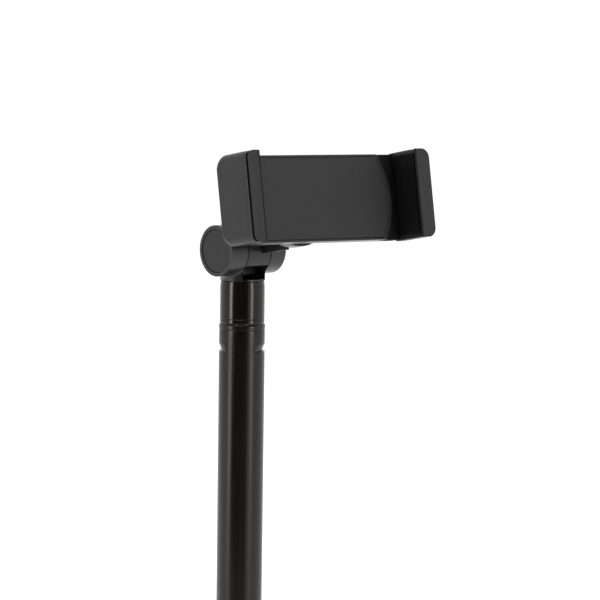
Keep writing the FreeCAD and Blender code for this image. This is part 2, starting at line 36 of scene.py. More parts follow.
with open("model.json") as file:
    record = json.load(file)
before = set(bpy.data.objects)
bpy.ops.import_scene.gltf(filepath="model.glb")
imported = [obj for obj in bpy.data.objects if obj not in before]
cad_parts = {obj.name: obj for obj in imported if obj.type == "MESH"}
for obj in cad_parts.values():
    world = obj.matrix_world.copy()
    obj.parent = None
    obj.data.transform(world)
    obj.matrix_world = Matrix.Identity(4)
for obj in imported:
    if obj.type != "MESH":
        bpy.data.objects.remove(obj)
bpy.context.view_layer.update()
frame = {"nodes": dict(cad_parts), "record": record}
nodes = frame["nodes"]
record = frame["record"]
joints = {joint["name"]: joint for joint in record["behaviour"]["joints"]}
body_of = {node: body for body, members in record["behaviour"]["bodies"].items() for node in members}
slot_of = {part["node"]: part["material_slot"] for part in record["subparts"]}

# ---------------------------------------------------------------------------------------------
# Frames of reference, read from the joints: the pole, the barrel and the holder
# ---------------------------------------------------------------------------------------------


def axes(x, y, z, origin):
    """Matrix whose columns are the three axes and the origin."""
    return Matrix.Translation(origin) @ Matrix((x, y, z)).transposed().to_4x4()


barrel = Vector(joints["head_tilt"]["pos_m"])
normal = Vector(joints["holder_turn"]["axis"]).normalized()
across = Vector(joints["jaw_open"]["axis"]).normalized()
swivel = Vector(joints["holder_turn"]["pos_m"])
swivel_base = swivel - normal * (swivel - barrel).dot(normal)

POLE = Matrix.Translation((barrel.x, barrel.y, 0))
HEAD = Matrix.Translation(barrel)
HOLDER = axes(across, -normal, across.cross(-normal), swivel_base)


def local_box(node, place):
    """Lowest and highest corner of a CAD node, measured in a frame of reference."""
    inverse = place.inverted()
    points = [inverse @ vertex.co for vertex in nodes[node].data.vertices]
    low = Vector([min(point[i] for point in points) for i in range(3)])
    high = Vector([max(point[i] for point in points) for i in range(3)])
    return low, high


# ---------------------------------------------------------------------------------------------
# Materials: each is a small node tree in object coordinates
# ---------------------------------------------------------------------------------------------


def new_material(name):
    """A material, its node tree and its shader."""
    material = bpy.data.materials.new(name)
    material.use_nodes = True
    tree = material.node_tree
    return material, tree, tree.nodes["Principled BSDF"]


def noise(tree, scale, detail, stretch=(1, 1, 1)):
    """Noise in object coordinates, stretched along the axes."""
    place = tree.nodes.new("ShaderNodeTexCoord")
    mapping = tree.nodes.new("ShaderNodeMapping")
    mapping.inputs["Scale"].default_value = stretch
    texture = tree.nodes.new("ShaderNodeTexNoise")
    texture.inputs["Scale"].default_value = scale
    texture.inputs["Detail"].default_value = detail
    tree.links.new(place.outputs["Object"], mapping.inputs["Vector"])
    tree.links.new(mapping.outputs["Vector"], texture.inputs["Vector"])
    return texture.outputs["Fac"]


def as_colour(value):
    """A colour as it is, or a number as a grey."""
    return value if isinstance(value, tuple) else (value, value, value, 1)


def ramp(tree, value, low, high, start=0.3, end=0.7):
    """Map a noise value onto a range of numbers or colours."""
    node = tree.nodes.new("ShaderNodeValToRGB")
    for element, position, colour in zip(node.color_ramp.elements, (start, end), (low, high)):
        element.position = position
        element.color = as_colour(colour)
    tree.links.new(value, node.inputs["Fac"])
    return node.outputs["Color"]


def bump(tree, shader, height, strength, distance, before=None):
    """Bump on the shader's normal, over an earlier bump if there is one."""
    node = tree.nodes.new("ShaderNodeBump")
    node.inputs["Strength"].default_value = strength
    node.inputs["Distance"].default_value = distance
    tree.links.new(height, node.inputs["Height"])
    if before is not None:
        tree.links.new(before, node.inputs["Normal"])
    tree.links.new(node.outputs["Normal"], shader.inputs["Normal"])
    return node.outputs["Normal"]


def shade(colour, factor):
    """The colour made darker or lighter."""
    return tuple(channel * factor for channel in colour[:3]) + (1,)


def vary(tree, texture, colour, low, high):
    """The colour between two shades of itself, as the texture says."""
    return ramp(tree, texture, shade(colour, low), shade(colour, high))


def roughen(tree, shader, texture, roughness, less, more):
    """Roughness that wanders with a texture, from a little less to a little more."""
    tree.links.new(ramp(tree, texture, roughness - less, roughness + more), shader.inputs["Roughness"])


def rub_edges(tree, shader, colour, patches, worn):
    """Base colour from the patches, shaded where the mesh has an edge."""
    edges = tree.nodes.new("ShaderNodeNewGeometry")
    mask = ramp(tree, edges.outputs["Pointiness"], low=0.0, high=1.0, start=0.53, end=0.62)
    mix = tree.nodes.new("ShaderNodeMixRGB")
    mix.inputs["Color2"].default_value = shade(colour, worn)
    tree.links.new(mask, mix.inputs["Fac"])
    tree.links.new(patches, mix.inputs["Color1"])
    tree.links.new(mix.outputs["Color"], shader.inputs["Base Color"])


GRAIN = 2600                    # scale of a moulding's spark-eroded grain
GRAIN_STRENGTH = 0.03
COAT_ROUGHNESS = 0.14
WARM = (1.0, 0.93, 0.91, 1.0)   # tint of the lacquer's gloss


def moulded(name, colour, roughness, gloss, coat=0.0, worn=1.25):
    """Injection-moulded plastic: a fine spark-eroded grain, a slow change of tone, rubbed edges."""
    material, tree, shader = new_material(name)
    shader.inputs["Specular IOR Level"].default_value = gloss
    shader.inputs["Coat Weight"].default_value = coat
    shader.inputs["Coat Roughness"].default_value = COAT_ROUGHNESS
    patches = vary(tree, noise(tree, scale=45, detail=4), colour, low=0.93, high=1.07)
    rub_edges(tree, shader, colour, patches, worn)
    roughen(tree, shader, noise(tree, scale=380, detail=2), roughness, less=0.03, more=0.04)
    coarse = bump(tree, shader, noise(tree, scale=GRAIN / 6, detail=2),
                  strength=GRAIN_STRENGTH * 0.4, distance=0.0002)
    bump(tree, shader, noise(tree, scale=GRAIN, detail=2),
         strength=GRAIN_STRENGTH, distance=0.0001, before=coarse)
    return material


def lacquer(name, colour, roughness, gloss):
    """Warm black lacquer on a drawn tube: faint lengthwise draw lines and dust nibs under the gloss."""
    material, tree, shader = new_material(name)
    tone = vary(tree, noise(tree, scale=60, detail=4), colour, low=0.9, high=1.1)
    tree.links.new(tone, shader.inputs["Base Color"])
    shader.inputs["Specular Tint"].default_value = WARM
    shader.inputs["Specular IOR Level"].default_value = gloss
    drawn = noise(tree, scale=900, detail=3, stretch=(1, 1, 0.02))
    roughen(tree, shader, drawn, roughness, less=0.03, more=0.05)
    lines = bump(tree, shader, drawn, strength=0.035, distance=0.00008)
    bump(tree, shader, noise(tree, scale=1500, detail=2), strength=0.02, distance=0.0001, before=lines)
    return material


def steel(name, colour, roughness):
    """Drawn or turned steel with lines along one axis."""
    material, tree, shader = new_material(name)
    lines = noise(tree, scale=1400, detail=3, stretch=(1, 1, 0.03))
    tree.links.new(vary(tree, lines, colour, low=0.88, high=1.06), shader.inputs["Base Color"])
    shader.inputs["Metallic"].default_value = 1.0
    roughen(tree, shader, lines, roughness, less=0.06, more=0.08)
    bump(tree, shader, lines, strength=0.06, distance=0.00008)
    return material


def rubber(name, colour, roughness, gloss):
    """Soft matt rubber: dull, with a dusty change of tone and a fine pebble."""
    material, tree, shader = new_material(name)
    tone = vary(tree, noise(tree, scale=140, detail=5), colour, low=0.85, high=1.2)
    tree.links.new(tone, shader.inputs["Base Color"])
    roughen(tree, shader, noise(tree, scale=500, detail=2), roughness, less=0.05, more=0.05)
    shader.inputs["Specular IOR Level"].default_value = gloss
    bump(tree, shader, noise(tree, scale=1800, detail=2), strength=0.06, distance=0.0001)
    return material


MATERIALS = {
    "pole_metal": lacquer("pole_lacquer", (0.0020, 0.0014, 0.0014), roughness=0.25, gloss=0.27),
    "neck_lacquer": lacquer("neck_lacquer", (0.0028, 0.0023, 0.0023), roughness=0.15, gloss=0.27),
    "yoke_plastic": moulded("yoke_plastic", (0.0090, 0.0086, 0.0086), roughness=0.36, gloss=0.26, coat=0.18),
    "disc_plastic": moulded("disc_plastic", (0.0090, 0.0090, 0.0090), roughness=0.5, gloss=0.24),
    # painted shade: a near-black matt finish for faces that stand in shadow (slot, groove, lip edges, panel
    # sides)
    "painted_shade": rubber("painted_shade", (0.0018, 0.0017, 0.0017), roughness=0.55, gloss=0.12),
    "section_steel": steel("section_steel", (0.33, 0.33, 0.34), roughness=0.28),
    "holder_plastic": moulded("holder_plastic", (0.0080, 0.0080, 0.0082), roughness=0.44, gloss=0.16,
                              coat=0.30),
    "panel_plastic": moulded("panel_plastic", (0.0085, 0.0085, 0.0086), roughness=0.55, gloss=0.27),
    "pad_rubber": rubber("pad_rubber", (0.0024, 0.0024, 0.0024), roughness=0.7, gloss=0.08),
    "foot_rubber": rubber("foot_rubber", (0.010, 0.010, 0.010), roughness=0.62, gloss=0.3),
    "hub_plastic": moulded("hub_plastic", (0.012, 0.012, 0.0122), roughness=0.45, gloss=0.36),
    "leg_lacquer": lacquer("leg_lacquer", (0.0045, 0.0040, 0.0040), roughness=0.28, gloss=0.32),
    "bush_plastic": moulded("bush_plastic", (0.72, 0.71, 0.67), roughness=0.45, gloss=0.5, worn=1.0),
    "screw_steel": steel("screw_steel", (0.11, 0.11, 0.115), roughness=0.33),
    "spring_steel": steel("spring_steel", (0.55, 0.55, 0.56), roughness=0.3),
}

# ---------------------------------------------------------------------------------------------
# Mesh helpers
# ---------------------------------------------------------------------------------------------


def link(name, data):
    """A new object in the scene."""
    obj = bpy.data.objects.new(name, data)
    bpy.context.scene.collection.objects.link(obj)
    return obj


def mesh_of(name, builder):
    """The finished bmesh as a mesh."""
    mesh = bpy.data.meshes.new(name)
    builder.to_mesh(mesh)
    builder.free()
    return mesh


def settle(obj):
    """Fold an object's modifiers into its mesh."""
    depsgraph = bpy.context.evaluated_depsgraph_get()
    depsgraph.update()
    mesh = bpy.data.meshes.new_from_object(obj.evaluated_get(depsgraph))
    old = obj.data
    obj.modifiers.clear()
    obj.data = mesh
    bpy.data.meshes.remove(old)


def smooth(obj, angle):
    """Smooth shading that keeps flats flat and breaks at corners sharper than an angle in degrees."""
    for polygon in obj.data.polygons:
        polygon.use_smooth = True
    obj.data.set_sharp_from_angle(angle=math.radians(angle))
    weights = obj.modifiers.new("weights", "WEIGHTED_NORMAL")
    weights.keep_sharp = True
    weights.weight = 100
    settle(obj)


def piece(name, builder, stands_for, angle=32, finish=None):
    """Make an object from a bmesh, give it its finish, and tie it to its body."""
    builder.normal_update()
    obj = link(name, mesh_of(name, builder))
    smooth(obj, angle)
    slot = slot_of[stands_for[0]]
    obj.data.materials.clear()
    obj.data.materials.append(MATERIALS[finish or slot])
    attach(obj, body_of[stands_for[0]])
    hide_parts(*stands_for)
    return obj


SAME_POINT = 0.5e-6             # vertices closer than this are one, in metres
SAME_FACE = math.radians(0.4)   # facets that meet at less than this are one face
SHARP = math.radians(28)        # edges that turn more than this are rounded off


def softened(node, width, segments=2, finish=None):
    """Copy of a CAD node with its sharp edges rounded off by a width in millimetres."""
    builder = bmesh.new()
    builder.from_mesh(nodes[node].data)
    bmesh.ops.remove_doubles(builder, verts=builder.verts, dist=SAME_POINT)
    bmesh.ops.dissolve_limit(builder, angle_limit=SAME_FACE, verts=builder.verts,
                             edges=builder.edges, use_dissolve_boundaries=False)
    builder.normal_update()
    sharp = [edge for edge in builder.edges
             if len(edge.link_faces) == 2 and edge.calc_face_angle(0) > SHARP]
    bmesh.ops.bevel(builder, geom=sharp, offset=width * MM, offset_type="OFFSET", segments=segments,
                    profile=0.5, affect="EDGES", clamp_overlap=True)
    return piece(node + "_finished", builder, (node,), angle=40, finish=finish)


def paint_shade(obj, wanted):
    """Painted shade: a black finish on the faces that wanted(centre, normal) picks."""
    obj.data.materials.append(MATERIALS["painted_shade"])
    for polygon in obj.data.polygons:
        if wanted(polygon.center, polygon.normal):
            polygon.material_index = 1


def rings(builder, loops, capped=True):
    """Skin a row of equal closed rings of points, and close its two ends if asked."""
    rows = [[builder.verts.new(point) for point in loop] for loop in loops]
    count = len(rows[0])
    for low, high in zip(rows, rows[1:]):
        for n in range(count):
            after = (n + 1) % count
            builder.faces.new((low[n], low[after], high[after], high[n]))
    if capped:
        builder.faces.new(list(reversed(rows[0])))
        builder.faces.new(rows[-1])
    bmesh.ops.recalc_face_normals(builder, faces=builder.faces)
    return rows


STRAIGHT_ON = math.radians(89.5)    # half of a corner's angle, above which it isn't a corner
LONGEST_REACH = 0.49                # of a side that an arc may use up, so that two arcs never meet


def arc_points(before, corner, after, radius, steps):
    """Points that round a corner of a 2-D outline."""
    a, c, b = Vector(before), Vector(corner), Vector(after)
    to_a, to_b = (a - c).normalized(), (b - c).normalized()
    half = to_a.angle(to_b) / 2
    if radius <= 0 or half > STRAIGHT_ON:
        return [tuple(c)]
    reach = min(radius / math.tan(half), LONGEST_REACH * (a - c).length, LONGEST_REACH * (b - c).length)
    radius = reach * math.tan(half)
    centre = c + (to_a + to_b).normalized() * (radius / math.sin(half))
    start, end = c + to_a * reach - centre, c + to_b * reach - centre
    turn = start.angle_signed(end)
    points = []
    for n in range(steps + 1):
        angle = -turn * n / steps
        cos, sin = math.cos(angle), math.sin(angle)
        points.append((centre.x + start.x * cos - start.y * sin, centre.y + start.x * sin + start.y * cos))
    return points


def rounded_outline(corners, steps):
    """Closed outline from (x, y, rounding) corners."""
    points = []
    count = len(corners)
    for n, (x, y, radius) in enumerate(corners):
        before = corners[n - 1][:2]
        after = corners[(n + 1) % count][:2]
        points += arc_points(before, (x, y), after, radius, steps)
    return points


ON_AXIS = 1e-6                  # radius in millimetres below which a point lies on the axis


def circle(radius, height, place, segments):
    """Ring of points about the local Z axis, sizes in millimetres: one point if it lies on the axis."""
    if radius < ON_AXIS:
        return [place @ Vector((0, 0, height * MM))]
    angles = [FULL_TURN * n / segments for n in range(segments)]
    return [place @ Vector((radius * MM * math.cos(angle), radius * MM * math.sin(angle), height * MM))
            for angle in angles]


def band(builder, low, high, segments):
    """Faces between two rings, of which one may be a single point."""
    for n in range(segments):
        after = (n + 1) % segments
        corners = [low[0] if len(low) == 1 else low[n]]
        if len(low) > 1:
            corners.append(low[after])
        corners.append(high[0] if len(high) == 1 else high[after])
        if len(high) > 1:
            corners.append(high[n])
        builder.faces.new(corners)


def spun(name, profile, place, stands_for, segments=144, steps=4, finish=None):
    """Turn a closed (radius, height, rounding) profile about the local Z axis, sizes in millimetres."""
    builder = bmesh.new()
    rows = [[builder.verts.new(point) for point in circle(radius, height, place, segments)]
            for radius, height in rounded_outline(profile, steps)]
    for low, high in zip(rows, rows[1:] + rows[:1]):
        if len(low) > 1 or len(high) > 1:
            band(builder, low, high, segments)
    bmesh.ops.recalc_face_normals(builder, faces=builder.faces)
    return piece(name, builder, stands_for, finish=finish)


def span(node, place):
    """A round node's radius, bore, lowest and highest point in millimetres; the frame's Z is its axis."""
    low, high = local_box(node, place)
    inverse = place.inverted()
    bore = min(math.hypot(*(inverse @ vertex.co).xy) for vertex in nodes[node].data.vertices)
    return (high.x - low.x) / 2 / MM, bore / MM, low.z / MM, high.z / MM


# ---------------------------------------------------------------------------------------------
# Pole: outer tube with two sheared notches, collar, neck and inner sections. Millimetres.
# ---------------------------------------------------------------------------------------------

TUBE_RADIUS = 7.0
TUBE_SEGMENTS = 240
TUBE_EASE = 0.1                 # the first and last rings are this much smaller
EASED_HEIGHT = 0.12
MOUTH_EASE = 0.15
NOTCH_DROP = 5.6                # middle of the notches below the tube's upper edge
NOTCH_HEIGHT = 2.3
NOTCH_DEPTH = 0.85
NOTCH_TURN = math.radians(-48.6)
NOTCH_HALF_WIDTH = math.radians(52)
NOTCH_END_FADE = 0.8            # exponents of the fades towards a notch's ends and its upper edge
NOTCH_TOP_FADE = 0.9
FINE_HALF = 4                   # the rings are close together this far from the notches' middle
FINE_ROWS = 100
PLAIN_ROWS = 24
FOOT_ROWS = (0, 0.15, 0.3)      # rings just over the tube's foot
MOUTH_ROWS = (0.35, 0.1)        # and just under its mouth


def wall_radius(height, angle, foot, mouth):
    """Radius of the wall: a notch is deepest at its level lower edge and fades upwards and sideways."""
    edge = min(height - foot, mouth - height)
    reach = TUBE_RADIUS - (TUBE_EASE if edge < EASED_HEIGHT else 0.0)
    middle = mouth - NOTCH_DROP
    up_notch = (height - middle + NOTCH_HEIGHT / 2) / NOTCH_HEIGHT
    for side in (0, math.pi):
        off = (angle - NOTCH_TURN - side + math.pi) % FULL_TURN - math.pi
        across_notch = abs(off) / NOTCH_HALF_WIDTH
        if across_notch < 1 and 0 <= up_notch <= 1:
            fade = math.cos(across_notch * math.pi / 2) ** NOTCH_END_FADE
            reach -= NOTCH_DEPTH * fade * (1 - up_notch) ** NOTCH_TOP_FADE
    return reach


def tube_heights(foot, mouth):
    """Heights of the tube's rings, close together at the notches."""
    fine = mouth - NOTCH_DROP - FINE_HALF
    heights = [foot + rise for rise in FOOT_ROWS]
    heights += [foot + (fine - foot) * n / PLAIN_ROWS for n in range(1, PLAIN_ROWS)]
    heights += [fine + 2 * FINE_HALF * n / FINE_ROWS for n in range(FINE_ROWS + 1)]
    return heights + [mouth - drop for drop in MOUTH_ROWS]


def tube_ring(height, radius_at):
    """Ring of points on the pole, whose radius may change with the angle."""
    points = []
    for n in range(TUBE_SEGMENTS):
        angle = FULL_TURN * n / TUBE_SEGMENTS
        reach = radius_at(angle)
        points.append(POLE @ Vector((reach * MM * math.cos(angle), reach * MM * math.sin(angle),
                                     height * MM)))
    return points


def outer_tube():
    """Tube wall as a fine grid, so that the two notches can be pressed in."""
    _, bore, foot, mouth = span("outer_tube", POLE)
    loops = [tube_ring(foot, lambda angle: bore)]
    for height in tube_heights(foot, mouth):
        loops.append(tube_ring(height, lambda angle: wall_radius(height, angle, foot, mouth)))
    loops.append(tube_ring(mouth, lambda angle: TUBE_RADIUS - MOUTH_EASE))
    loops.append(tube_ring(mouth, lambda angle: bore))
    builder = bmesh.new()
    rows = rings(builder, loops, capped=False)
    for n in range(TUBE_SEGMENTS):
        after = (n + 1) % TUBE_SEGMENTS
        builder.faces.new((rows[-1][n], rows[-1][after], rows[0][after], rows[0][n]))
    bmesh.ops.recalc_face_normals(builder, faces=builder.faces)
    piece("outer_tube_finished", builder, ("outer_tube",), angle=24)


NECK_GROOVE_RISE = 1.45         # middle of the neck's fine groove above its foot
NECK_GROOVE_HALF = 0.16
NECK_GROOVE_DEPTH = 0.14
SLEEVE_SEGMENTS = 96
SECTION_EDGES = (0.1, 0.15, 0.2, 0.1)
BUSH_EDGES = (0.2, 0.2, 0.2, 0.2)


def collar():
    """Metal ring on the tube's mouth, with a soft upper edge."""
    radius, bore, low, high = span("tube_collar", POLE)
    spun("tube_collar_finished",
         [(bore, low, 0), (radius - 0.12, low, 0.1), (radius, low + 0.14, 0.1), (radius, high - 0.3, 0.25),
          (radius - 0.25, high, 0.15), (bore, high, 0.1)], POLE, ("tube_collar",))


def neck():
    """Neck tube: a fine groove near its foot and a rounded shoulder under the barrel."""
    radius, bore, low, high = span("neck_tube", POLE)
    groove = low + NECK_GROOVE_RISE
    spun("neck_tube_finished",
         [(bore, low, 0), (radius - 0.1, low, 0.15), (radius, low + 0.3, 0.1),
          (radius, groove - NECK_GROOVE_HALF, 0.05), (radius - NECK_GROOVE_DEPTH, groove, 0.05),
          (radius, groove + NECK_GROOVE_HALF, 0.05), (radius, high - 2.0, 1.5),
          (radius - 0.22, high - 0.25, 0.2), (radius - 0.4, high, 0.1), (bore, high, 0)],
         POLE, ("neck_tube",), finish="neck_lacquer")


def sleeve(node, roundings):
    """Plain turned sleeve with its four edges rounded."""
    radius, bore, low, high = span(node, POLE)
    corners = [(bore, low), (radius, low), (radius, high), (bore, high)]
    profile = [(*corner, rounding) for corner, rounding in zip(corners, roundings)]
    spun(node + "_finished", profile, POLE, (node,), segments=SLEEVE_SEGMENTS)


def pole():
    """Outer tube, collar, neck tube and the telescopic sections with their bushes."""
    outer_tube()
    collar()
    neck()
    for node in ("tube_2", "tube_3"):
        sleeve(node, SECTION_EDGES)
    for node in ("guide_bush_1", "guide_bush_2", "guide_bush_3",
                 "slide_bush_2", "slide_bush_3", "slide_bush_4"):
        sleeve(node, BUSH_EDGES)


# ---------------------------------------------------------------------------------------------
# Head: yoke, end discs, arm and swivel disc
# ---------------------------------------------------------------------------------------------

SLOT_WALL = 0.5 * MM            # the ears' inner walls lie this close to the knuckle
SLOT_HALF_DEPTH = 6.9 * MM
SLOT_TOP = -5.2 * MM            # heights from the barrel's axis
SLOT_BOTTOM = -14 * MM
FACING = 0.9                    # a face whose normal goes this far along an axis faces along it
DISC_CROWN = 0.02               # millimetres
DISC_EDGE = 0.25


def paint_slot_shade(yoke):
    """Painted shade inside the slot: the ears' inner walls, the floor and its pocket are black."""
    low, high = local_box("knuckle_arm", HEAD)

    def in_slot(centre, facing):
        place = centre - barrel
        inside = low.x - SLOT_WALL < place.x < high.x + SLOT_WALL and abs(place.y) < SLOT_HALF_DEPTH
        return inside and SLOT_BOTTOM < place.z < SLOT_TOP and abs(facing.y) < FACING

    # painted shade: the slot's inner faces are black
    paint_shade(yoke, in_slot)


def end_disc(node, side):
    """Disc in the end of the barrel, very slightly crowned; side is -1 on the left."""
    low, high = local_box(node, HEAD)
    radius = (high.z - low.z) / 2 / MM
    thick = (high.x - low.x) / MM
    face = Matrix.Translation((barrel.x + (low.x if side < 0 else high.x), barrel.y, barrel.z))
    place = face @ Matrix.Rotation(math.radians(90 * side), 4, "Y")
    profile = [(0, -thick, 0), (radius, -thick, 0), (radius, -DISC_CROWN, DISC_EDGE), (0, 0.0, 0)]
    spun(node + "_finished", profile, place, (node,), segments=128, finish="disc_plastic")


def head():
    """Yoke with painted shade in its slot, the barrel's end discs, the arm and the swivel disc."""
    paint_slot_shade(softened("yoke", width=0.32, segments=3))
    end_disc("end_disc_left", -1)
    end_disc("end_disc_right", 1)
    softened("knuckle_arm", width=0.45, segments=3)
    softened("swivel_disc", width=0.3, segments=3)


# ---------------------------------------------------------------------------------------------
# Holder: tray, panel, jaws with their lips and pads. Millimetres.
# ---------------------------------------------------------------------------------------------

OUTER_ROUND = 3.0               # outer corners of a jaw's block and of its lip
LIP_ROUND = 3.7
INNER_ROUND = 0.35
CORNER_STEPS = 10
SHELL_ADVANCE = 0.27            # the block reaches this much further forward than the CAD's
HEEL = 3.0                      # rounding of the block's rear upper and lower edges
CHEEK = 0.15                    # and of its rear outer edge
HEEL_STEPS = (0, 0.03, 0.08, 0.15, 0.27, 0.4, 0.6, 0.9, 1.3, 1.8, 2.4, 3.0)
# Distance behind the block's front, and inset: a crease, a shallow taper and a rounded front edge
FRONT_STEPS = ((2.2, 0.0), (2.14, 0.035), (0.45, 0.08), (0.2, 0.2), (0, 0.5))
GROOVE = 0.75                   # length of the neck in front of the block, painted black as the groove's shade
GROOVE_INSET = 0.9
GROOVE_SHADE = 0.16             # the block's front edge is painted black as the groove's shade this far back
LIP_THIN = 0.64                 # the lip's rear face lies this far in front of the CAD's
LIP_REAR = ((0.06, 0.0), (0.0, 0.03))   # inset and distance from the lip's rear face
LIP_RIM = 0.12                  # rounding of the lip's front edge
LIP_CROWN = 0.2
RIM_STEPS = 6
CROWN_STEPS = 9
CROWN_START = 0.14              # the crown's rings start this far in from the inner side
CROWN_STOP = 0.2                # and move in by half the width less this
CROWN_SHARE = 0.995             # their outer side comes in by this share of its inset
LEAST_ROUND = 0.2               # smallest rounding of their outer corners
LIP_STRIP = {-1: 0.55, 1: 0.8}  # width of the painted shade, a black strip, on each lip's inner side
EDGE_ON = 0.5                   # a face whose normal goes less than this along an axis is a side face


def jaw_extent(node):
    """A jaw piece's side (-1 is left), inner and outer x, half height, rear and front."""
    low, high = local_box(node, HOLDER)
    side = -1 if high.x < 0 else 1
    inner, outer = (high.x, low.x) if side < 0 else (low.x, high.x)
    return side, inner / MM, outer / MM, high.z / MM, -high.y / MM, -low.y / MM


def jaw_outline(inner, outer, half, rounding):
    """Jaw's outline across the holder: rounded on its outer side."""
    corners = [(inner, -half, INNER_ROUND), (outer, -half, rounding),
               (outer, half, rounding), (inner, half, INNER_ROUND)]
    if outer < inner:
        corners.reverse()
    return rounded_outline(corners, CORNER_STEPS)


def lofted(node, levels, finish=None):
    """Skin outlines in the holder's plane; each level is (outline, distance in front of the barrel)."""
    builder = bmesh.new()
    rings(builder, [[HOLDER @ Vector((x * MM, -depth * MM, z * MM)) for x, z in outline]
                    for outline, depth in levels])
    return piece(node + "_finished", builder, (node,), finish=finish)


def quarter_trim(radius, depth):
    """How far a quarter round stands back at a depth below its tip."""
    return radius - math.sqrt(radius ** 2 - max(0, radius - depth) ** 2)


def jaw_shell(node):
    """Block behind the lip: well rounded at its rear, with a shallow taper towards the groove in front, its
    neck and front edge painted black as the groove's shade.
    """
    side, inner, outer, half, rear, front = jaw_extent(node)
    front += SHELL_ADVANCE
    levels = []
    for depth in HEEL_STEPS:
        edge = outer - side * quarter_trim(CHEEK, depth)
        levels.append((jaw_outline(inner, edge, half - quarter_trim(HEEL, depth), OUTER_ROUND), rear + depth))
    for back, inset in FRONT_STEPS:
        levels.append((jaw_outline(inner, outer - side * inset, half - inset, OUTER_ROUND - inset * 0.5),
                       front - back))
    neck_outline = jaw_outline(inner, outer - side * GROOVE_INSET, half - GROOVE_INSET,
                               OUTER_ROUND - GROOVE_INSET)
    levels += [(neck_outline, front), (neck_outline, front + GROOVE)]
    inverse = HOLDER.inverted()
    # painted shade: the groove's neck and the block's front edge are black
    paint_shade(lofted(node, levels),
            lambda centre, facing: -(inverse @ centre).y / MM > front - GROOVE_SHADE)


def lip_levels(side, inner, outer, half, rear, front):
    """Outlines of a lip: its rear edge, its rounded rim and its crowned face."""
    levels = [(jaw_outline(inner, outer - side * inset, half - inset, LIP_ROUND - inset), rear + rise)
              for inset, rise in LIP_REAR]
    for n in range(1, RIM_STEPS + 1):
        angle = math.radians(90 * n / RIM_STEPS)
        inset = LIP_RIM * (1 - math.cos(angle))
        outline = jaw_outline(inner + side * inset * 0.5, outer - side * inset, half - inset,
                              LIP_ROUND - inset)
        levels.append((outline, front - LIP_CROWN - LIP_RIM * (1 - math.sin(angle))))
    half_width = abs(outer - inner) / 2
    for n in range(1, CROWN_STEPS):
        part = n / CROWN_STEPS
        inset = LIP_RIM + (half_width - LIP_RIM) * part
        outline = jaw_outline(inner + side * (CROWN_START + (half_width - CROWN_STOP) * part),
                              outer - side * inset * CROWN_SHARE, half - inset,
                              max(LEAST_ROUND, LIP_ROUND - inset))
        levels.append((outline, front - LIP_CROWN * (1 - part) ** 2))
    return levels


def jaw_lip(node):
    """Cap on a jaw's front: a rounded rim, a slightly crowned face and a black inner edge of painted shade.
    """
    side, inner, outer, half, rear, front = jaw_extent(node)
    cap = lofted(node, lip_levels(side, inner, outer, half, rear + LIP_THIN, front), finish="panel_plastic")
    inverse = HOLDER.inverted()
    # painted shade: a black strip along the lip's inner edge
    paint_shade(cap, lambda centre, facing: abs((inverse @ centre).x / MM - inner) < LIP_STRIP[side])


WIRE = 0.17                     # radius of the springs' wire
SPRING_TURNS = 52
TURN_POINTS = 16
WIRE_SIDES = 3                  # bevel resolution of the wire


def jaw_springs():
    """Two extension springs, hidden in the slide's channels."""
    low, high = local_box("jaw_springs", HOLDER)
    coil = (high.y - low.y) / 2 / MM - WIRE
    start, end = low.x / MM, high.x / MM
    depth = (low.y + high.y) / 2 / MM
    line = high.z / MM - coil - WIRE
    count = SPRING_TURNS * TURN_POINTS + 1
    for name, level in (("upper", line), ("lower", -line)):
        curve = bpy.data.curves.new("jaw_spring_" + name, "CURVE")
        curve.dimensions = "3D"
        curve.bevel_depth = WIRE * MM
        curve.bevel_resolution = WIRE_SIDES
        spline = curve.splines.new("POLY")
        spline.points.add(count - 1)
        for n in range(count):
            angle = FULL_TURN * n / TURN_POINTS
            x = start + WIRE + (end - start - 2 * WIRE) * n / (count - 1)
            point = HOLDER @ Vector((x * MM, (depth + coil * math.sin(angle)) * MM,
                                     (level + coil * math.cos(angle)) * MM))
            spline.points[n].co = (*point, 1)
        obj = link("jaw_spring_" + name, curve)
        obj.data.materials.append(MATERIALS["spring_steel"])
        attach(obj, "holder")
        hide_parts("jaw_springs")


def darken_rim(panel):
    """The panel's edge sits in the shadow of its seam: its side faces are black."""
    outward = HOLDER.to_3x3().col[1].normalized()
    paint_shade(panel, lambda centre, facing: abs(facing.dot(outward)) < EDGE_ON)


def holder():
    """Tray, panel, slide, both jaws and the springs."""
    softened("rear_housing", width=0.16)
    darken_rim(softened("front_panel", width=0.12))
    softened("jaw_slide", width=0.12, finish="pad_rubber")
    for node in ("fixed_jaw", "moving_jaw"):
        jaw_shell(node)
        jaw_lip(node + "_lip")
        softened(node + "_pad", width=0.14, segments=3)
    jaw_springs()


# ---------------------------------------------------------------------------------------------
# Base: hub, legs and rubber feet. Millimetres.
# ---------------------------------------------------------------------------------------------

BOOT_SLEEVE = 7.0               # from the boot's mouth to the middle of its ball
BOOT_BORE = 2.5
BOOT_TRIM = 0.12                # the ribs stay this far inside the CAD's foot
BOOT_RIBS = 4
RIB_START = 1.3                 # first rib's upper edge below the mouth
RIB_PITCH = 1.35
RIB_FOOT = 0.75                 # the rib's lower edge, and the start and end of the furrow below it
FURROW_TOP = 0.9
FURROW_FOOT = 1.2
FURROW_DEPTH = 0.35
BALL_STEPS = 12


def leg_place(side):
    """A leg's frame: its pivot is the origin, X runs along the pin and the leg points down -Z."""
    joint = joints[f"leg_{side}_fold"]
    pivot = Vector(joint["pos_m"])
    pin = Vector(joint["axis"]).normalized()
    low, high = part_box(f"leg_{side}_foot")
    foot = (low + high) / 2
    outward = Vector((foot.x - barrel.x, foot.y - barrel.y, 0)).normalized()
    spread = math.radians(joint["range_deg"][1])
    down = outward * math.sin(spread) - Vector((0, 0, 1)) * math.cos(spread)
    return axes(pin, (-down).cross(pin), -down, pivot)


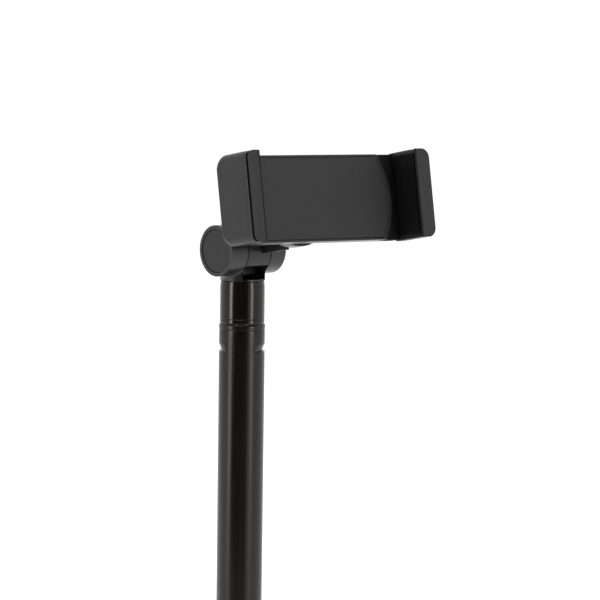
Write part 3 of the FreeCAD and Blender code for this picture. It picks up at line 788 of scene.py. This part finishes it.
def boot_profile(radius, mouth):
    """Outline of a ribbed boot, as (radius, height, rounding), from its mouth to its ball."""
    centre = mouth - BOOT_SLEEVE
    profile = [(BOOT_BORE, mouth, 0.1), (radius - 0.5, mouth, 0.4), (radius - 0.25, mouth - 0.9, 0.2)]
    for n in range(BOOT_RIBS):
        top = mouth - RIB_START - RIB_PITCH * n
        profile += [(radius, top, 0.15), (radius, top - RIB_FOOT, 0.15),
                    (radius - FURROW_DEPTH, top - FURROW_TOP, 0.1),
                    (radius - FURROW_DEPTH, top - FURROW_FOOT, 0.1)]
    for n in range(BALL_STEPS):
        angle = math.radians(90 * n / BALL_STEPS)
        profile.append((radius * math.cos(angle), centre - radius * math.sin(angle), 0))
    return profile + [(0, centre - radius, 0), (0, centre, 0), (BOOT_BORE, centre, 0)]


def leg_foot(side):
    """Ribbed rubber boot; its tip is worn flat where it stands."""
    node = f"leg_{side}_foot"
    place = leg_place(side)
    low, high = local_box(node, place)
    radius = (high.x - low.x) / 2 / MM - BOOT_TRIM
    boot = spun(node + "_finished", boot_profile(radius, high.z / MM), place, (node,), segments=96, steps=2)
    for vertex in boot.data.vertices:
        vertex.co.z = max(vertex.co.z, 0.0)


def base():
    """Hub and the three legs with their boots."""
    softened("leg_hub", width=0.4, segments=3)
    for side in ("front", "right", "left"):
        softened(f"leg_{side}_bar", width=0.5, segments=3)
        leg_foot(side)


# ---------------------------------------------------------------------------------------------
# Camera, stage and light
# ---------------------------------------------------------------------------------------------

VIEW_AZIMUTH = math.radians(40.58)
VIEW_PITCH = math.radians(6.393)
VIEW_ROLL = math.radians(0.753)
VIEW_DISTANCE = 1.0359
VIEW_SHIFT = (-0.01737, 0.01549)    # sideways and upwards, from the line through the barrel
LENS = 204.2
SENSOR = 36
CLIP_END = 50

WORLD_LIGHT = 1.1
FLOOR_RADIUS = 60
PAPER = ((0.925, 0.925, 0.925, 1), (0.935, 0.935, 0.935, 1))
LIGHT_TARGET = Vector((0, 0, 0.2))
# Name, azimuth from the camera's and elevation in degrees, distance, width, height and power
SOFTBOXES = (("strip_left", -60, 4, 1.2, 0.28, 1.6, 13),
             ("strip_right", 52, 4, 1.2, 0.22, 1.6, 9),
             ("top", 0, 80, 1.5, 1.2, 1.2, 12))

CARD_DISTANCE = 0.45
CARD_LEFT = math.radians(50)
CARD_RIGHT = math.radians(31)
CARD_FOOT = 0.001
CARD_HEIGHT = 1.1
CARD_STEPS = 16
CARD_BLACK = (0.004, 0.004, 0.004, 1)


def camera():
    """Camera at the photograph's angle, placed from the middle of the barrel."""
    forward = Vector((math.sin(VIEW_AZIMUTH) * math.cos(VIEW_PITCH),
                      math.cos(VIEW_AZIMUTH) * math.cos(VIEW_PITCH), -math.sin(VIEW_PITCH)))
    level = Vector((math.cos(VIEW_AZIMUTH), -math.sin(VIEW_AZIMUTH), 0))
    rise = level.cross(forward)
    right = level * math.cos(VIEW_ROLL) + rise * math.sin(VIEW_ROLL)
    up = rise * math.cos(VIEW_ROLL) - level * math.sin(VIEW_ROLL)
    place = barrel - forward * VIEW_DISTANCE - right * VIEW_SHIFT[0] - up * VIEW_SHIFT[1]
    lens = bpy.data.cameras.new("camera")
    lens.lens = LENS
    lens.sensor_width = SENSOR
    lens.clip_end = CLIP_END
    obj = link("camera", lens)
    obj.matrix_world = axes(right, up, -forward, place)
    bpy.context.scene.camera = obj


def bearing(azimuth, elevation):
    """Direction from the object, in degrees; azimuth 0 is towards -Y and grows towards +X."""
    a, e = math.radians(azimuth), math.radians(elevation)
    return Vector((math.sin(a) * math.cos(e), -math.cos(a) * math.cos(e), math.sin(e)))


def softbox(name, direction, distance, width, height, power):
    """Rectangular softbox that faces the target from a direction."""
    light = bpy.data.lights.new(name, "AREA")
    light.shape = "RECTANGLE"
    light.size = width
    light.size_y = height
    light.energy = power
    obj = link(name, light)
    obj.location = LIGHT_TARGET + direction.normalized() * distance
    obj.rotation_euler = direction.to_track_quat("Z", "Y").to_euler()
    obj.visible_camera = False


def lights():
    """White surroundings and three softboxes."""
    world = bpy.data.worlds.new("studio")
    world.use_nodes = True
    background = world.node_tree.nodes["Background"]
    background.inputs["Color"].default_value = (1, 1, 1, 1)
    background.inputs["Strength"].default_value = WORLD_LIGHT
    bpy.context.scene.world = world
    for name, turn, elevation, distance, width, height, power in SOFTBOXES:
        direction = bearing(-math.degrees(VIEW_AZIMUTH) + turn, elevation)
        softbox(name, direction, distance, width, height, power)
    view = bpy.context.scene.view_settings
    view.view_transform = "Standard"
    view.look = "None"


def paper_floor():
    """Pale paper under the stand."""
    builder = bmesh.new()
    bmesh.ops.create_circle(builder, cap_ends=True, segments=96, radius=FLOOR_RADIUS)
    floor = link("floor", mesh_of("floor", builder))
    material, tree, shader = new_material("floor_paper")
    tree.links.new(ramp(tree, noise(tree, scale=900, detail=2), *PAPER), shader.inputs["Base Color"])
    shader.inputs["Roughness"].default_value = 0.9
    floor.data.materials.append(material)


def dark_card():
    """Black card in front of the stand, seen by reflections only: the dark middle of the tube's gloss."""
    toward_camera = -math.pi / 2 - VIEW_AZIMUTH
    builder = bmesh.new()
    columns = []
    for n in range(CARD_STEPS + 1):
        angle = toward_camera - CARD_LEFT + (CARD_LEFT + CARD_RIGHT) * n / CARD_STEPS
        x = barrel.x + CARD_DISTANCE * math.cos(angle)
        y = barrel.y + CARD_DISTANCE * math.sin(angle)
        columns.append([builder.verts.new((x, y, z)) for z in (CARD_FOOT, CARD_HEIGHT)])
    for before, after in zip(columns, columns[1:]):
        builder.faces.new((before[0], after[0], after[1], before[1]))
    card = link("dark_card", mesh_of("dark_card", builder))
    material, _, shader = new_material("dark_card")
    shader.inputs["Base Color"].default_value = CARD_BLACK
    shader.inputs["Specular IOR Level"].default_value = 0.0
    shader.inputs["Roughness"].default_value = 1
    card.data.materials.append(material)
    card.visible_camera = False
    card.visible_shadow = False
    card.visible_diffuse = False


# ---------------------------------------------------------------------------------------------
# The scene: CAD nodes take their slot's material, then the finished pieces replace most of them
# ---------------------------------------------------------------------------------------------

for name, obj in nodes.items():
    obj.data.materials.clear()
    obj.data.materials.append(MATERIALS[slot_of[name]])

pole()
head()
holder()
base()
camera()
paper_floor()
lights()
dark_card()
